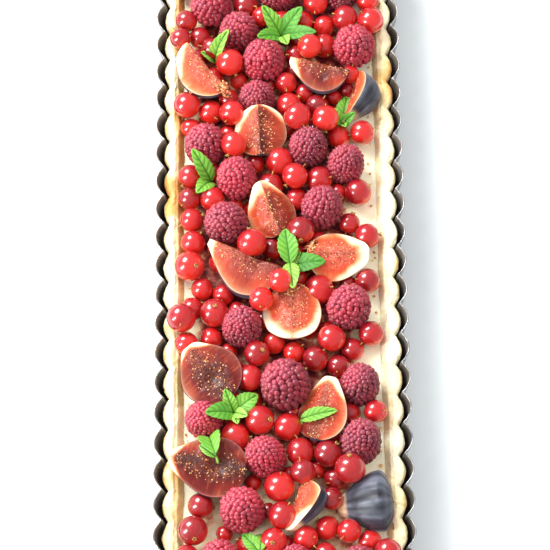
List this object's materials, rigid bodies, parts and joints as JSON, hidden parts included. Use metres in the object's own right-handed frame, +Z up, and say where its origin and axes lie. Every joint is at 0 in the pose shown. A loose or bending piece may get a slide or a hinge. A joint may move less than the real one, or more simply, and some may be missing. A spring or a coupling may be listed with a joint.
{
  "type": "berry tart",
  "caption": "Long shortcrust tart in its fluted tin, filled with pastry cream and topped with raspberries, fig pieces, redcurrants and mint.",
  "frame": {"origin": "middle of the tin's underside", "axes": "+Z up out of the tart, +Y along its long side, +X across it"},
  "size_m": [0.1088, 0.3488, 0.0399],
  "materials": {
    "dark_coated_steel": "thin baking tin with a dark satin non-stick coat and a bright cut rim",
    "baked_shortcrust": "baked shortcrust pastry, matt and crumbly, pale cream on top and golden to caramel at its edges",
    "pastry_cream": "set pastry cream, smooth with a soft sheen",
    "raspberry": "fresh raspberry, drupelets with a pale bloom and fine hairs",
    "fig": "cut ripe fig, moist seedy flesh, pale rind and blue-purple skin with bloom",
    "redcurrant": "fresh redcurrant, taut glossy translucent skin",
    "mint_leaf": "fresh mint leaf, satin and quilted between its veins"
  },
  "bodies": {
    "root": {"tin": "dark_coated_steel", "shortcrust_shell": "baked_shortcrust", "pastry_cream": "pastry_cream", "raspberry_01": "raspberry", "raspberry_02": "raspberry", "raspberry_03": "raspberry", "raspberry_04": "raspberry", "raspberry_05": "raspberry", "raspberry_06": "raspberry", "raspberry_07": "raspberry", "raspberry_08": "raspberry", "raspberry_09": "raspberry", "raspberry_10": "raspberry", "raspberry_11": "raspberry", "raspberry_12": "raspberry", "raspberry_13": "raspberry", "raspberry_14": "raspberry", "raspberry_15": "raspberry", "raspberry_16": "raspberry", "raspberry_17": "raspberry", "raspberry_18": "raspberry", "raspberry_19": "raspberry", "raspberry_20": "raspberry", "raspberry_21": "raspberry", "raspberry_22": "raspberry", "raspberry_23": "raspberry", "raspberry_24": "raspberry", "raspberry_25": "raspberry", "raspberry_26": "raspberry", "raspberry_27": "raspberry", "fig_01": "fig", "fig_02": "fig", "fig_03": "fig", "fig_04": "fig", "fig_05": "fig", "fig_06": "fig", "fig_07": "fig", "fig_08": "fig", "fig_09": "fig", "fig_10": "fig", "fig_11": "fig", "fig_12": "fig", "fig_13": "fig", "fig_14": "fig", "fig_15": "fig", "redcurrants_top_left": "redcurrant", "redcurrants_top": "redcurrant", "redcurrants_left_upper": "redcurrant", "redcurrants_right_upper": "redcurrant", "redcurrants_middle": "redcurrant", "redcurrant_right_lone": "redcurrant", "redcurrants_right_pair": "redcurrant", "redcurrants_left": "redcurrant", "redcurrants_centre": "redcurrant", "redcurrant_right_low": "redcurrant", "redcurrants_lower": "redcurrant", "redcurrant_right_lowest": "redcurrant", "redcurrants_near_end": "redcurrant", "redcurrants_left_low": "redcurrant", "redcurrant_behind_fig": "redcurrant"}
  },
  "joints": []
}
